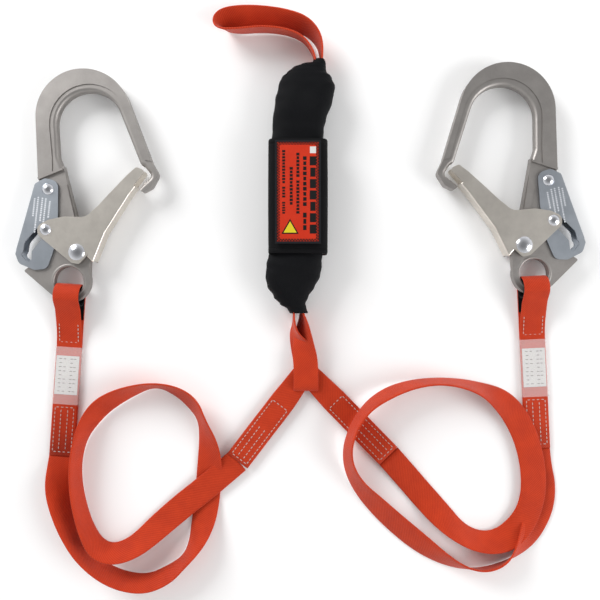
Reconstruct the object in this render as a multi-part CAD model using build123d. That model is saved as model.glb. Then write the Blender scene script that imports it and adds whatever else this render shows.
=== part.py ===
from build123d import *

import math
import os

# ------------------------------------------------------------------ driving sizes, mm
WEB_WIDTH = 25.4
WEB_THICK = 1.8
FLOOR_GAP = 0.6              # sewn straps lie this high, on their stitching
HALF_BOW = 6.5               # half thicknesses of the hook, from its middle plane
HALF_BEAD = 5.7
BEAD_WIDTH = 7.0
HALF_PLATE = 4.5
RIM_RISE = 0.3               # the eye's rim stands this much over the plate
LEVER_GAP, LEVER_SHEET = 0.7, 1.4
GATE_GAP, GATE_SHEET = 0.3, 2.0
RAIL_GAP = 0.6
LEVER_WEB = 1.5
BEND_RADIUS = 1.6            # outside radius of the gate's folded edge
PIVOT_FIT = 0.08             # running clearance on the radius of a pivot
GATE_SHAFT, GATE_DOME = 5.0, 8.1
TAIL_SHAFT, TAIL_DOME = 3.0, 5.6
LEVER_SHAFT, LEVER_DOME = 4.0, 5.7
DOME_RISE = 2.9
SLOT_PLAY = 0.6
EYE_FIT = 1.7                # on each side of the strap, in the eye
RIM_WIDTH, LUG_WIDTH = 3.1, 6.6
OUTER_BOW, INNER_BOW = 46.9, 32.3
PAD_FIT, PAD_THICK = 0.17, 1.2
STRAP_LENGTH = 162.0         # from the middle of the lug to the sewn end
STRAP_MERGE = 50.0           # where the strap's two layers come together
SLEEVE_SPAN, LABEL_SPAN = (52.0, 110.0), (61.0, 100.0)   # along the strap
LABEL_THICK = 0.3
SPRING_WIRE, SPRING_TURNS = 0.6, 3
GATE_SWING, LEVER_SWING = 44.0, 12.0

# sizes that follow
HALF_RIM = HALF_PLATE + RIM_RISE
LEVER_IN = HALF_PLATE + LEVER_GAP
LEVER_OUT = LEVER_IN + LEVER_SHEET
GATE_IN = LEVER_OUT + GATE_GAP
GATE_OUT = GATE_IN + GATE_SHEET
HALF_RAIL = GATE_IN - RAIL_GAP
EYE_HOLE = WEB_WIDTH / 2 + EYE_FIT
EYE_RIM, EYE_LUG = EYE_HOLE + RIM_WIDTH, EYE_HOLE + LUG_WIDTH
STRAP_PIVOT = EYE_HOLE - 0.32
EYE_CHORD = math.sqrt(EYE_HOLE ** 2 - (WEB_WIDTH / 2) ** 2)    # where the strap's edges meet the eye
PAD_INNER = max(math.hypot(STRAP_PIVOT - EYE_CHORD, HALF_RIM),
                math.hypot(EYE_LUG - STRAP_PIVOT, HALF_PLATE)) + PAD_FIT
STRAP_EYE_OUTER = PAD_INNER + PAD_THICK + WEB_THICK
HOOK_HEIGHT = FLOOR_GAP + STRAP_EYE_OUTER

# places in the hook's own plane: eye centre at the origin, +Y towards the bow, spine at -X
GATE_PIVOT = (5.87, 29.5)
TAIL_PIN = (-27.0, 48.0)
LEVER_PIVOT = (-30.0, 88.1)
OUTER_CENTRE = (-3.4, 163.7)
INNER_CENTRE = (3.3, 156.7)
LEDGE_LEFT, LEDGE_RIGHT = (-40.5, 96.1), (-16.9, 108.8)
LIP_END = (58.5, 98.5)

# places of the whole lanyard, about the middle of its layout
LAYOUT_MIDDLE = (0.46, 60.59)
LEFT_STRAP_END, LEFT_LEAN, LEFT_STRAP_TURN = (-240.7762, -157.1722), -6.35, -3.9
RIGHT_STRAP_END, RIGHT_LEAN, RIGHT_STRAP_TURN = (240.0945, -149.4845), 10.5, 2.7


# ------------------------------------------------------------------ helpers
def rounded(corners):
    """Closed flat face through (x, y, radius) corners."""
    points = [(x, y) for x, y, _ in corners]
    return make_face(FilletPolyline(*points, radius=[r for _, _, r in corners], close=True))


def layer(face, low, high):
    """The face, which lies at height 0, made solid between two heights."""
    return Pos(0, 0, low) * extrude(face, high - low)


def disc(centre, radius):
    return Pos(*centre) * Circle(radius)


def tangent_point(point, centre, radius, side):
    """Where the line from a point touches a circle, on one side (+1 left, -1 right)."""
    across, up = centre[0] - point[0], centre[1] - point[1]
    distance = math.hypot(across, up)
    heading = math.atan2(up, across) + side * math.asin(radius / distance)
    reach = math.sqrt(distance ** 2 - radius ** 2)
    return (point[0] + reach * math.cos(heading), point[1] + reach * math.sin(heading))


def turned(point, centre, degrees):
    """The point turned about a centre."""
    angle = math.radians(degrees)
    across, up = point[0] - centre[0], point[1] - centre[1]
    return (centre[0] + across * math.cos(angle) - up * math.sin(angle),
            centre[1] + across * math.sin(angle) + up * math.cos(angle))


def hull_of_pins(path, radius):
    """The face that a pin of this radius sweeps along a list of points."""
    face = disc(path[0], radius)
    for start, end in zip(path, path[1:]):
        length = math.hypot(end[0] - start[0], end[1] - start[1])
        angle = math.degrees(math.atan2(end[1] - start[1], end[0] - start[0]))
        run = Pos((start[0] + end[0]) / 2, (start[1] + end[1]) / 2) * Rot(0, 0, angle) \
            * Rectangle(length, 2 * radius)
        face = face + run + disc(end, radius)
    return face


def both_sides(solid):
    """The solid and its mirror image in the middle plane."""
    return solid + mirror(solid, about=Plane.XY)


# ------------------------------------------------------------------ hook body
def throat_face():
    """The open space inside the bow, down past the gate."""
    mouth, inside_left = (58.1, 122.4), (-23.2, 120.8)
    return rounded([
        (*LIP_END, 0), (60.5, 101.3, 4), (69.3, 111.3, 3), (68.5, 114.6, 2), (62.3, 120.9, 3), (*mouth, 6),
        (*tangent_point(mouth, INNER_CENTRE, INNER_BOW, -1), 0),
        (*tangent_point(inside_left, INNER_CENTRE, INNER_BOW, 1), 0), (*inside_left, 6),
        (*LEDGE_RIGHT, 0), (0.0, 60.0, 0), (50.0, 60.0, 0)]) + disc(INNER_CENTRE, INNER_BOW)


def bow_face():
    """Hook's bow: everything above the ledge, open between the spine and the nose."""
    nose = (68.7, 126.1)
    outside = rounded([
        (*LEDGE_LEFT, 1), (*tangent_point(LEDGE_LEFT, OUTER_CENTRE, OUTER_BOW, 1), 0),
        (*tangent_point(nose, OUTER_CENTRE, OUTER_BOW, -1), 0), (*nose, 8), (76.8, 115.0, 6),
        (71.4, 101.5, 5), (63.1, 95.6, 2.5), (*LIP_END, 0), (*LEDGE_RIGHT, 0)])
    return outside + disc(OUTER_CENTRE, OUTER_BOW) - throat_face()


def flat_zone_face():
    """Raised flat along the outside of the bow; its inner edge leaves room for the rounded bead."""
    mouth, inside_left, end = (66.0, 119.0), (-29.5, 120.8), (-27.5, 105.0)
    bead = INNER_BOW + BEAD_WIDTH
    inner = rounded([
        (*end, 4), (*inside_left, 6), (*tangent_point(inside_left, INNER_CENTRE, bead, 1), 0),
        (*tangent_point(mouth, INNER_CENTRE, bead, -1), 0), (*mouth, 0), (60.0, 60.0, 0), (0.0, 60.0, 0)])
    tip = rounded([(62.0, 90.0, 0), (90.0, 90.0, 0), (90.0, 127.0, 0), (62.0, 127.0, 0)])
    return bow_face() - inner - disc(INNER_CENTRE, bead) - tip


def plate_face():
    """The flat lower body: spine, gate seat, fin and the lug round the eye."""
    inward = 4.0
    corners = [
        (LEDGE_LEFT[0] + 0.6, LEDGE_LEFT[1] + inward, 0), (LEDGE_RIGHT[0] - 1, LEDGE_RIGHT[1] + inward, 0),
        (-15.7, 106.4, 3), (0.1, 64.5, 20), (9.0, 48.0, 10), (17.5, 30.0, 8), (19.5, 8.0, 0),
        (0.0, 0.0, 0), (-15.1, -15.2, 0), (-45.4, 5.5, 1.5), (-38.0, 12.0, 2), (-24.0, 13.5, 4),
        (-22.0, 20.0, 4), (-28.0, 29.0, 6), (-22.0, 46.0, 8), (-26.0, 60.0, 12), (-37.0, 80.0, 12),
        (LEDGE_LEFT[0], LEDGE_LEFT[1] - 3, 2),
    ]
    return rounded(corners) + Circle(EYE_LUG)


def gate_arm_path():
    """Edge of the rail pad that the gate's plates slide over."""
    return [(-15.6, 84.5, 1), (-7.2, 63.5, 0), (-4.0, 38.0, 2), (GATE_PIVOT[0], 22.0, 4),
            (14.5, 30.0, 5), (7.5, 48.0, 8), (-1.2, 64.5, 12), (-13.0, 98.0, 1)]


def ledge_ridge():
    """Low ridge along the step between the bow and the thin plate."""
    reach = (LEDGE_RIGHT[0] - LEDGE_LEFT[0], LEDGE_RIGHT[1] - LEDGE_LEFT[1])
    length = math.hypot(*reach)
    middle = ((LEDGE_LEFT[0] + LEDGE_RIGHT[0]) / 2, (LEDGE_LEFT[1] + LEDGE_RIGHT[1]) / 2)
    angle = math.degrees(math.atan2(reach[1], reach[0]))
    bar = Pos(*middle) * Rot(0, 0, angle) * Pos(0, 1.3) * Rectangle(length - 0.6, 2.0)
    return layer(bar, -HALF_BOW - 0.35, HALF_BOW + 0.35)


def hook_body():
    bead = layer(bow_face(), -HALF_BEAD, HALF_BEAD)
    inner_edges = bead.edges().filter_by(
        lambda edge: edge.geom_type == GeomType.CIRCLE and abs(edge.radius - INNER_BOW) < 0.01)
    bead = fillet(inner_edges, BEAD_WIDTH / 2)
    body = bead + layer(flat_zone_face(), -HALF_BOW, HALF_BOW) + ledge_ridge()
    body += layer(plate_face(), -HALF_PLATE, HALF_PLATE)
    body += layer(rounded(gate_arm_path()) + disc(GATE_PIVOT, 9.5), -HALF_RAIL, HALF_RAIL)
    rim = fillet(layer(Circle(EYE_RIM) - Circle(EYE_HOLE), -HALF_RIM, HALF_RIM).edges(), 1.2)
    through = max(HALF_BOW, HALF_RAIL) + 1
    body = body - layer(Circle(EYE_RIM - 0.6), -through, through) + rim
    body -= layer(disc(GATE_PIVOT, GATE_SHAFT), -through, through)
    body -= layer(disc(LEVER_PIVOT, LEVER_SHAFT), -through, through)
    pocket = layer(disc(GATE_PIVOT, GATE_DOME) - disc(GATE_PIVOT, GATE_SHAFT), HALF_PLATE - 1.0, HALF_RAIL)
    return body - both_sides(pocket)


# ------------------------------------------------------------------ gate, lever and rivets
def gate_face():
    return rounded([
        (-34.0, 42.0, 7.5), (-35.5, 51.0, 7.0), (-25.5, 57.8, 8), (-10.8, 62.8, 20), (11.1, 64.7, 12),
        (22.2, 77.5, 40), (33.9, 93.3, 0), (46.9, 110.2, 10), (55.0, 119.1, 3), (63.8, 116.6, 2.5),
        (48.9, 92.1, 12), (28.9, 52.3, 0), (17.6, 29.0, 8), (9.6, 17.9, 4), (1.9, 18.5, 4)])


def gate_web_face():
    """Section of the bridge that joins the two gate plates along their lower edge."""
    return rounded([(54.6, 101.4, 0), (48.9, 92.1, 0), (29.4, 52.3, 0), (21.0, 24.4, 0), (22.9, 20.8, 0.8),
                    (31.4, 51.4, 0), (50.9, 91.1, 0), (56.4, 100.3, 0.8)])


def bend_edges(body):
    """Long outside edges of the gate's bridge, at the faces of both plates."""
    spots = ((26.9, 35.2), (41.0, 70.9))
    return body.edges().filter_by(lambda edge: abs(abs(edge.center().Z) - GATE_OUT) < 0.01 and any(
        math.hypot(edge.center().X - x, edge.center().Y - y) < 3.0 for x, y in spots))


def gate():
    web = layer(gate_web_face(), -GATE_OUT, GATE_OUT)
    foot = rounded([(17.6, 29.0, 0), (28.9, 52.3, 0), (48.7, 92.1, 0), (54.6, 101.4, 0), (56.4, 100.3, 0.8),
                    (50.9, 91.1, 0), (31.4, 51.4, 0), (22.9, 20.8, 0.8), (16.5, 26.0, 0)])
    plates = both_sides(layer(gate_face() + foot, GATE_IN, GATE_OUT))
    body = plates + web
    body = fillet(bend_edges(body), BEND_RADIUS)
    body -= layer(disc(GATE_PIVOT, GATE_SHAFT + PIVOT_FIT), -GATE_OUT, GATE_OUT)
    return body - layer(disc(TAIL_PIN, TAIL_SHAFT), -GATE_OUT, GATE_OUT)


def slot_face():
    """Slot in the lever that the gate's tail pin runs along as both turn."""
    steps = 8
    path = []
    for step in range(steps + 1):
        pin = turned(TAIL_PIN, GATE_PIVOT, GATE_SWING * step / steps)
        path.append(turned(pin, LEVER_PIVOT, -LEVER_SWING * step / steps))
    crescent = rounded([(-33.5, 52.4, 2), (-46.9, 33.5, 9), (-47.3, 20.5, 5), (-41.5, 12.8, 3),
                        (-38.2, 17.5, 2), (-38.9, 28.0, 6), (-32.5, 43.5, 3)])
    return hull_of_pins(path, TAIL_SHAFT + SLOT_PLAY) + crescent


def lever_face():
    return rounded([
        (-43.2, 92.0, 4), (-34.0, 98.6, 7), (-20.6, 97.0, 8), (-17.0, 62.7, 8), (-17.4, 29.8, 10),
        (-22.0, 10.0, 7), (-34.0, 7.4, 6), (-50.0, 12.0, 7), (-54.6, 21.0, 2)])


def lever():
    spine = rounded([(-43.2, 90.0, 0), (-54.3, 25.0, 0.5), (-54.3 + LEVER_WEB, 25.0, 0), (-43.2 + LEVER_WEB, 90.0, 0)])
    plates = both_sides(layer(lever_face() - slot_face(), LEVER_IN, LEVER_OUT))
    body = plates + layer(spine, -LEVER_OUT, LEVER_OUT)
    return body - layer(disc(LEVER_PIVOT, LEVER_SHAFT + PIVOT_FIT), -LEVER_OUT, LEVER_OUT)


def rivet(centre, shaft, dome, half_length):
    """Rivet along the hook's thickness, with a low dome at each end."""
    radius = (dome ** 2 + DOME_RISE ** 2) / (2 * DOME_RISE)
    middle = math.asin(dome / radius) / 2
    over = half_length + DOME_RISE - radius
    tip, mid = (0, half_length + DOME_RISE), (radius * math.sin(middle), over + radius * math.cos(middle))
    profile = make_face([
        Line((0, -tip[1]), tip),
        ThreePointArc(tip, mid, (dome, half_length)),
        Line((dome, half_length), (shaft, half_length)),
        Line((shaft, half_length), (shaft, -half_length)),
        Line((shaft, -half_length), (dome, -half_length)),
        ThreePointArc((dome, -half_length), (mid[0], -mid[1]), (0, -tip[1]))])
    return Pos(*centre, 0) * revolve(Plane.XZ * profile, Axis.Z)


def torsion_spring(centre, mean_radius, low):
    """Close coil round a rivet, as plain rings joined by a bar that stands for its legs."""
    coils = Pos(0, 0, low + SPRING_WIRE) * Torus(mean_radius, SPRING_WIRE)
    for turn in range(1, SPRING_TURNS):
        coils += Pos(0, 0, low + SPRING_WIRE * (1 + 1.6 * turn)) * Torus(mean_radius, SPRING_WIRE)
    return Pos(*centre, 0) * coils


# ------------------------------------------------------------------ sewn hook strap
def strap_plane(width):
    """Section plane of a hook strap: X runs away from the hook, Y is up."""
    return Plane(origin=(width / 2, 0, 0), x_dir=(0, -1, 0), z_dir=(-1, 0, 0))


def hook_strap():
    """Doubled webbing that loops through the eye; the origin is the middle of the lug."""
    inner, outer = STRAP_EYE_OUTER - WEB_THICK, STRAP_EYE_OUTER
    floor, middle, top = -outer, -outer + WEB_THICK, -outer + 2 * WEB_THICK
    join = (STRAP_MERGE, middle)
    section = Circle(outer) + make_face(Polyline(
        (0, floor), (STRAP_LENGTH, floor), (STRAP_LENGTH, top), (STRAP_MERGE, top),
        tangent_point((STRAP_MERGE, top), (0, 0), outer, -1), close=True))
    section -= make_face(Polyline(
        (0, middle), join, tangent_point(join, (0, 0), inner, -1), close=True))
    section -= Circle(inner)
    return extrude(strap_plane(WEB_WIDTH) * section, WEB_WIDTH)


def wear_pad():
    """Lining of the strap's loop, with a tail on the lower layer."""
    outer = PAD_INNER + PAD_THICK
    tail = make_face(Polyline((0, -outer), (24, -outer), (24, -PAD_INNER), (0, -PAD_INNER), close=True))
    section = Circle(outer) + tail - Circle(PAD_INNER)
    width = WEB_WIDTH - 0.6
    return extrude(strap_plane(width) * section, width)


def strap_box(start, end, width, low, high):
    """Block along the strap, between two distances from the lug and two heights over the floor."""
    return Pos(0, -(start + end) / 2, (low + high) / 2 - HOOK_HEIGHT) * Box(width, end - start, high - low)


def label_sleeve():
    """Clear tube shrunk over the strap and its label."""
    wall, gap = 0.3, 0.1
    top = FLOOR_GAP + 2 * WEB_THICK
    start, end = SLEEVE_SPAN
    outside = strap_box(start, end, WEB_WIDTH + 2 * (wall + gap), FLOOR_GAP - gap - wall, top + LABEL_THICK + 2 * gap + wall)
    inside = strap_box(start - 1, end + 1, WEB_WIDTH + 2 * gap, FLOOR_GAP - gap, top + LABEL_THICK + 2 * gap)
    return outside - inside


def id_label():
    top = FLOOR_GAP + 2 * WEB_THICK
    start, end = LABEL_SPAN
    return strap_box(start, end, WEB_WIDTH - 2.4, top + 0.05, top + 0.05 + LABEL_THICK)


# ------------------------------------------------------------------ free webbing of the legs
def ribbon_stations(route):
    """Places along the middle of a webbing: (x, y, z, heading, roll), three at each corner."""
    stations = []
    radii = []
    first, second = route[0], route[1]
    heading = math.atan2(second[1] - first[1], second[0] - first[0])
    stations.append((*first[:3], heading, first[3]))
    for before, corner, after in zip(route, route[1:], route[2:]):
        run_in = math.hypot(corner[0] - before[0], corner[1] - before[1])
        run_out = math.hypot(after[0] - corner[0], after[1] - corner[1])
        into = ((corner[0] - before[0]) / run_in, (corner[1] - before[1]) / run_in)
        out = ((after[0] - corner[0]) / run_out, (after[1] - corner[1]) / run_out)
        reach = 0.45 * min(run_in, run_out)
        turn = math.acos(max(-1.0, min(1.0, into[0] * out[0] + into[1] * out[1])))
        radius = reach / math.tan(turn / 2)
        radii.append(radius)
        for side, way, run, far in ((-1, into, run_in, before), (0, None, 0, None), (1, out, run_out, after)):
            if side == 0:
                across = (out[0] - into[0], out[1] - into[1])
                size = math.hypot(*across)
                inset = radius * (1 / math.cos(turn / 2) - 1)
                place = (corner[0] + across[0] / size * inset, corner[1] + across[1] / size * inset)
                heading = math.atan2(into[1] + out[1], into[0] + out[0])
                stations.append((*place, corner[2], heading, corner[3]))
            else:
                share = reach / run
                place = (corner[0] + side * way[0] * reach, corner[1] + side * way[1] * reach)
                height = corner[2] + (far[2] - corner[2]) * share
                roll = corner[3] + (far[3] - corner[3]) * share
                stations.append((*place, height, math.atan2(way[1], way[0]), roll))
    last, previous = route[-1], route[-2]
    heading = math.atan2(last[1] - previous[1], last[0] - previous[0])
    stations.append((*last[:3], heading, last[3]))
    return stations, radii


def ribbon_corners(station):
    """The four corners of the webbing's section at a station."""
    x, y, z, heading, roll = station
    tilt = math.radians(roll)
    left = (-math.sin(heading) * math.cos(tilt), math.cos(heading) * math.cos(tilt), math.sin(tilt))
    up = (math.sin(heading) * math.sin(tilt), -math.cos(heading) * math.sin(tilt), math.cos(tilt))
    corners = []
    for wide, high in ((1, 1), (-1, 1), (-1, -1), (1, -1)):
        corners.append(tuple(
            centre + wide * side * WEB_WIDTH / 2 + high * rise * WEB_THICK / 2
            for centre, side, rise in zip((x, y, z), left, up)))
    return corners


def flat_face(*points):
    return Face(Wire.make_polygon(points, close=True))


def ribbon(name, route):
    """Closed solid of flat webbing along a route of (x, y, height over its lowest edge, roll)."""
    lifted = [(x, y, lift + WEB_WIDTH / 2 * abs(math.sin(math.radians(roll)))
               + WEB_THICK / 2 * math.cos(math.radians(roll)), roll) for x, y, lift, roll in route]
    stations, radii = ribbon_stations(lifted)
    rings = [ribbon_corners(station) for station in stations]
    faces = [flat_face(*reversed(rings[0])), flat_face(*rings[-1])]
    for near, far in zip(rings, rings[1:]):
        for index in range(4):
            following = (index + 1) % 4
            faces.append(flat_face(near[index], near[following], far[following]))
            faces.append(flat_face(near[index], far[following], far[index]))
    solid = Solid(Shell(faces))
    length = sum(math.dist(a[:3], b[:3]) for a, b in zip(stations, stations[1:]))
    print(name, "length", round(length, 1), "volume share",
          round(solid.volume / (length * WEB_WIDTH * WEB_THICK), 3),
          "smallest radii", [round(radius, 1) for radius in sorted(radii)[:4]])
    return solid


# route of each leg: (x, y, clearance under its lowest edge, roll from flat)
LEFT_ROUTE = [
    (-63.0, -162.0, 3.6, 0), (-80.0, -177.0, 3.4, 0), (-98.0, -191.5, 2.8, 0), (-119.0, -208.0, 1.0, 10),
    (-142.0, -227.5, 0.2, 20), (-164.3, -246.7, 0.2, 42), (-186.0, -254.5, 0.2, 56), (-203.0, -248.0, 0.2, 64),
    (-213.3, -228.0, 0.2, 74), (-220.0, -205.0, 0.2, 77), (-223.5, -183.0, 0.2, 80), (-223.5, -160.0, 0.2, 80),
    (-218.5, -137.0, 0.2, 74), (-208.0, -117.0, 0.2, 52), (-195.4, -103.5, 0.2, 46), (-172.0, -91.5, 0.2, 60),
    (-146.0, -83.7, 0.2, 78), (-123.0, -90.6, 0.2, 60), (-107.0, -103.0, 0.2, 52), (-97.5, -120.0, 0.2, 66),
    (-92.0, -141.0, 0.2, 40), (-91.0, -160.0, 0.2, 16), (-92.3, -180.0, 0.2, 0), (-94.0, -203.0, 0.2, 0),
    (-97.5, -224.0, 0.2, 18), (-104.0, -243.0, 0.2, 54), (-115.0, -260.5, 0.2, 78), (-131.0, -274.0, 0.2, 64),
    (-153.0, -283.5, 0.2, 66), (-178.0, -280.0, 0.2, 68), (-199.0, -269.7, 0.2, 72), (-218.0, -253.4, 0.2, 78),
    (-230.0, -232.0, 0.2, 69), (-238.5, -209.0, 0.2, 56), (-243.0, -188.0, 0.3, 36), (-242.2, -170.0, 0.4, 10),
    (-240.9, -157.3, 1.5, 0)]
RIGHT_ROUTE = [
    (89.0, -157.0, 3.6, 0), (106.0, -176.5, 1.6, 0), (124.0, -197.5, 0.4, 0), (141.0, -216.0, 0.2, -18),
    (158.0, -231.5, 0.2, -46), (175.0, -240.5, 0.2, -52), (192.0, -242.5, 0.4, -50), (208.0, -238.0, 1.4, -34),
    (222.0, -227.0, 3.0, -8), (231.5, -211.0, 3.6, 0), (235.5, -190.0, 4.8, 0), (234.0, -165.0, 5.2, 0),
    (228.0, -140.0, 5.3, 0), (217.0, -117.0, 5.3, 4), (203.0, -101.0, 3.6, 24), (184.0, -90.0, 0.2, 62),
    (162.0, -83.0, 0.2, 76), (136.0, -80.5, 0.2, 83), (110.0, -84.0, 1.0, 78), (86.0, -92.5, 4.0, 72),
    (66.0, -105.5, 7.4, 78), (53.0, -125.0, 8.0, 80), (46.5, -146.0, 7.2, 76), (48.5, -166.0, 3.6, 68),
    (58.0, -185.0, 0.6, 56), (75.0, -204.0, 0.2, 38), (96.0, -224.0, 0.2, 30), (119.0, -243.0, 0.2, 30),
    (143.0, -259.0, 0.2, 51), (165.0, -268.0, 0.2, 69), (186.0, -269.0, 0.2, 78), (206.0, -261.5, 0.2, 72),
    (223.0, -246.5, 0.2, 40), (236.0, -228.0, 0.2, 6), (245.0, -208.0, 0.2, 0), (246.5, -187.0, 0.2, 0),
    (241.8, -167.0, 0.6, 0), (240.1, -149.5, 1.5, 0)]

# ------------------------------------------------------------------ absorber pack
COVER_WALL = 0.9
EDGE_LOW = 1.5               # height of the webbing that stands on its edge in the pack
WRAP_WALL, WRAP_FIT = 1.6, 0.3
STANDING_TOP = EDGE_LOW + WEB_WIDTH
WRAP_LEFT, WRAP_RIGHT, WRAP_HEIGHT = -31.0, 27.0, STANDING_TOP + 8.1
WRAP_LOW, WRAP_HIGH = 45.0, 156.0
FLAP_LEFT, FLAP_RIGHT = -24.0, 20.0
FLAP_LOW, FLAP_HIGH = 54.0, 153.0
FLAP_THICK = 1.6
LEAF_THICK, LEAF_GAP, LEAF_COUNT = 0.3, 0.15, 3
LABEL_BORDER = 2.0
STRIP_WIDTH, STRIP_THICK = 7.0, 0.7
PLY_WIDTH, PLY_THICK, PLY_GAP, PLY_LAYERS = 36.0, 2.0, 0.6, 9
FLAP_FLOOR = WRAP_HEIGHT + 2 * STRIP_THICK + 0.4
# cross sections of the fabric cover: (y, left, right, low, room over the webbing that stands on its edge)
COVER_SECTIONS = [
    (231.0, 6.0, 30.5, 0.3, 2.1), (223.0, -12.0, 30.0, 0.3, 4.6), (208.0, -24.0, 33.5, 0.3, 6.6),
    (184.0, -27.0, 30.5, 0.3, 6.1), (156.0, -29.0, 25.0, 2.0, 6.1), (45.0, -29.0, 25.0, 2.0, 6.1),
    (28.0, -34.5, 20.5, 0.3, 6.1), (9.0, -31.0, 15.0, 0.3, 5.1), (-4.0, -21.0, 7.5, 0.3, 3.1),
    (-13.0, -15.0, 6.0, 0.3, 2.1)]


def cover_solid(inset):
    """Loft through the cover's sections, drawn in by the inset all round."""
    faces = []
    for y, left, right, low, headroom in COVER_SECTIONS:
        high = STANDING_TOP + headroom
        wide, tall = right - left - 2 * inset, high - low - 2 * inset
        corner = min(wide, tall) * 0.3
        plane = Plane(origin=((left + right) / 2, y, (low + high) / 2), x_dir=(1, 0, 0), z_dir=(0, -1, 0))
        faces.append(plane * RectangleRounded(wide, tall, corner))
    return loft(faces, ruled=True)


def absorber_cover():
    room = cover_solid(COVER_WALL)
    level, tall = EDGE_LOW + WEB_WIDTH / 2, WEB_WIDTH + 0.8
    mouth_top = Pos(18.5, 231.0, level) * Box(16.0, 4.0, tall)
    mouth_low = Pos(-4.0, -13.0, level) * Box(12.0, 4.0, tall)
    return cover_solid(0.0) - room - mouth_top - mouth_low


def tear_ply(low_y):
    """Folded tear webbing: layers across the pack joined by turned ends."""
    run = 68.0
    pitch = PLY_THICK + PLY_GAP
    section = Sketch()
    for layer_number in range(PLY_LAYERS):
        height = layer_number * pitch
        section += Pos(run / 2, height) * Rectangle(run, PLY_THICK)
        if layer_number:
            end = run if layer_number % 2 else 0.0
            section += Pos(end, height - pitch / 2) * Circle(pitch / 2 + PLY_THICK / 2)
            section -= Pos(end, height - pitch / 2) * Circle(PLY_GAP / 2)
    plane = Plane(origin=(-1.0 - PLY_WIDTH / 2, low_y, 6.5), x_dir=(0, 1, 0), z_dir=(1, 0, 0))
    return extrude(plane * section, PLY_WIDTH)


def on_edge_band(points, radii, thickness, low, high):
    """Closed loop of webbing standing on its edge."""
    line = make_face(FilletPolyline(*points, radius=radii, close=True))
    band = offset(line, thickness / 2) - offset(line, -thickness / 2)
    return layer(band, low, high)


def harness_loop():
    points = [(21.5, 206.0), (22.5, 250.0), (17.0, 264.0), (0.0, 273.5), (-45.0, 284.0), (-66.0, 290.0),
              (-78.0, 284.0), (-76.0, 272.0), (-50.0, 268.5), (-12.0, 267.5), (8.0, 259.0), (14.0, 246.0),
              (16.5, 206.0)]
    radii = [2.0, 12.0, 14.0, 20.0, 30.0, 9.0, 5.0, 6.0, 30.0, 18.0, 12.0, 14.0, 2.0]
    return on_edge_band(points, radii, WEB_THICK + 0.2, EDGE_LOW, EDGE_LOW + WEB_WIDTH)


def leg_loop():
    """Loop at the pack's lower end: an on-edge strand that turns flat and rolls round the yoke."""
    loop_low, loop_high, run_end, run_start = 0.3, 12.3, -88.0, -56.0
    radius = (loop_high - loop_low) / 2
    middle = (loop_low + loop_high) / 2
    plane = Plane(origin=(6.0 - WEB_WIDTH / 2, 0, 0), x_dir=(0, 1, 0), z_dir=(1, 0, 0))
    outside = Pos((run_end + run_start) / 2, middle) * SlotCenterToCenter(run_start - run_end, 2 * radius)
    inside = Pos((run_end + run_start) / 2, middle) \
        * SlotCenterToCenter(run_start - run_end, 2 * (radius - WEB_THICK))
    ring = extrude(plane * (outside - inside), WEB_WIDTH)
    strand = layer(rounded([(-8.0, 27.0, 0), (-4.0, 27.0, 0), (-4.0, -46.0, 4), (4.0, -50.6, 0),
                            (4.0, -53.0, 0), (-8.0, -49.5, 6)]), EDGE_LOW, EDGE_LOW + WEB_WIDTH)
    shoulder = Pos(-2.0, -51.0, middle) * Box(12.0, 5.0, 2 * radius)
    slope = Plane(origin=(-9.0, 0, 0), x_dir=(0, 1, 0), z_dir=(1, 0, 0)) * make_face(Polyline(
        (-60.0, 12.3), (-30.0, 27.0), (-60.0, 27.0), close=True))
    return ring + (strand + shoulder) - extrude(slope, 30.0)


def yoke():
    """The two legs' doubled ends, crossing over each other in the leg loop."""
    arms = rounded([(4.9, -52.6, 13), (98.1, -148.1, 1), (79.9, -165.9, 1), (20.8, -91.0, 10), (6.0, -84.0, 6),
                    (-9.0, -91.0, 10), (-52.9, -169.7, 1), (-73.1, -154.3, 1)])
    return layer(arms, 2.6, 2.6 + 2 * WEB_THICK + 0.2)


def label_wrap():
    middle = (WRAP_LEFT + WRAP_RIGHT) / 2
    wide = WRAP_RIGHT - WRAP_LEFT
    span = WRAP_HIGH - WRAP_LOW
    plane = Plane(origin=(middle, WRAP_LOW, WRAP_HEIGHT / 2), x_dir=(1, 0, 0), z_dir=(0, 1, 0))
    outside = plane * RectangleRounded(wide, WRAP_HEIGHT, 9.0)
    hollow = plane * RectangleRounded(wide - 2 * WRAP_WALL, WRAP_HEIGHT - 2 * WRAP_WALL, 9.0 - WRAP_WALL)
    return extrude(outside - hollow, span)


def slab(left, right, low_y, high_y, low, high):
    return Pos((left + right) / 2, (low_y + high_y) / 2, (low + high) / 2) \
        * Box(right - left, high_y - low_y, high - low)


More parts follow.
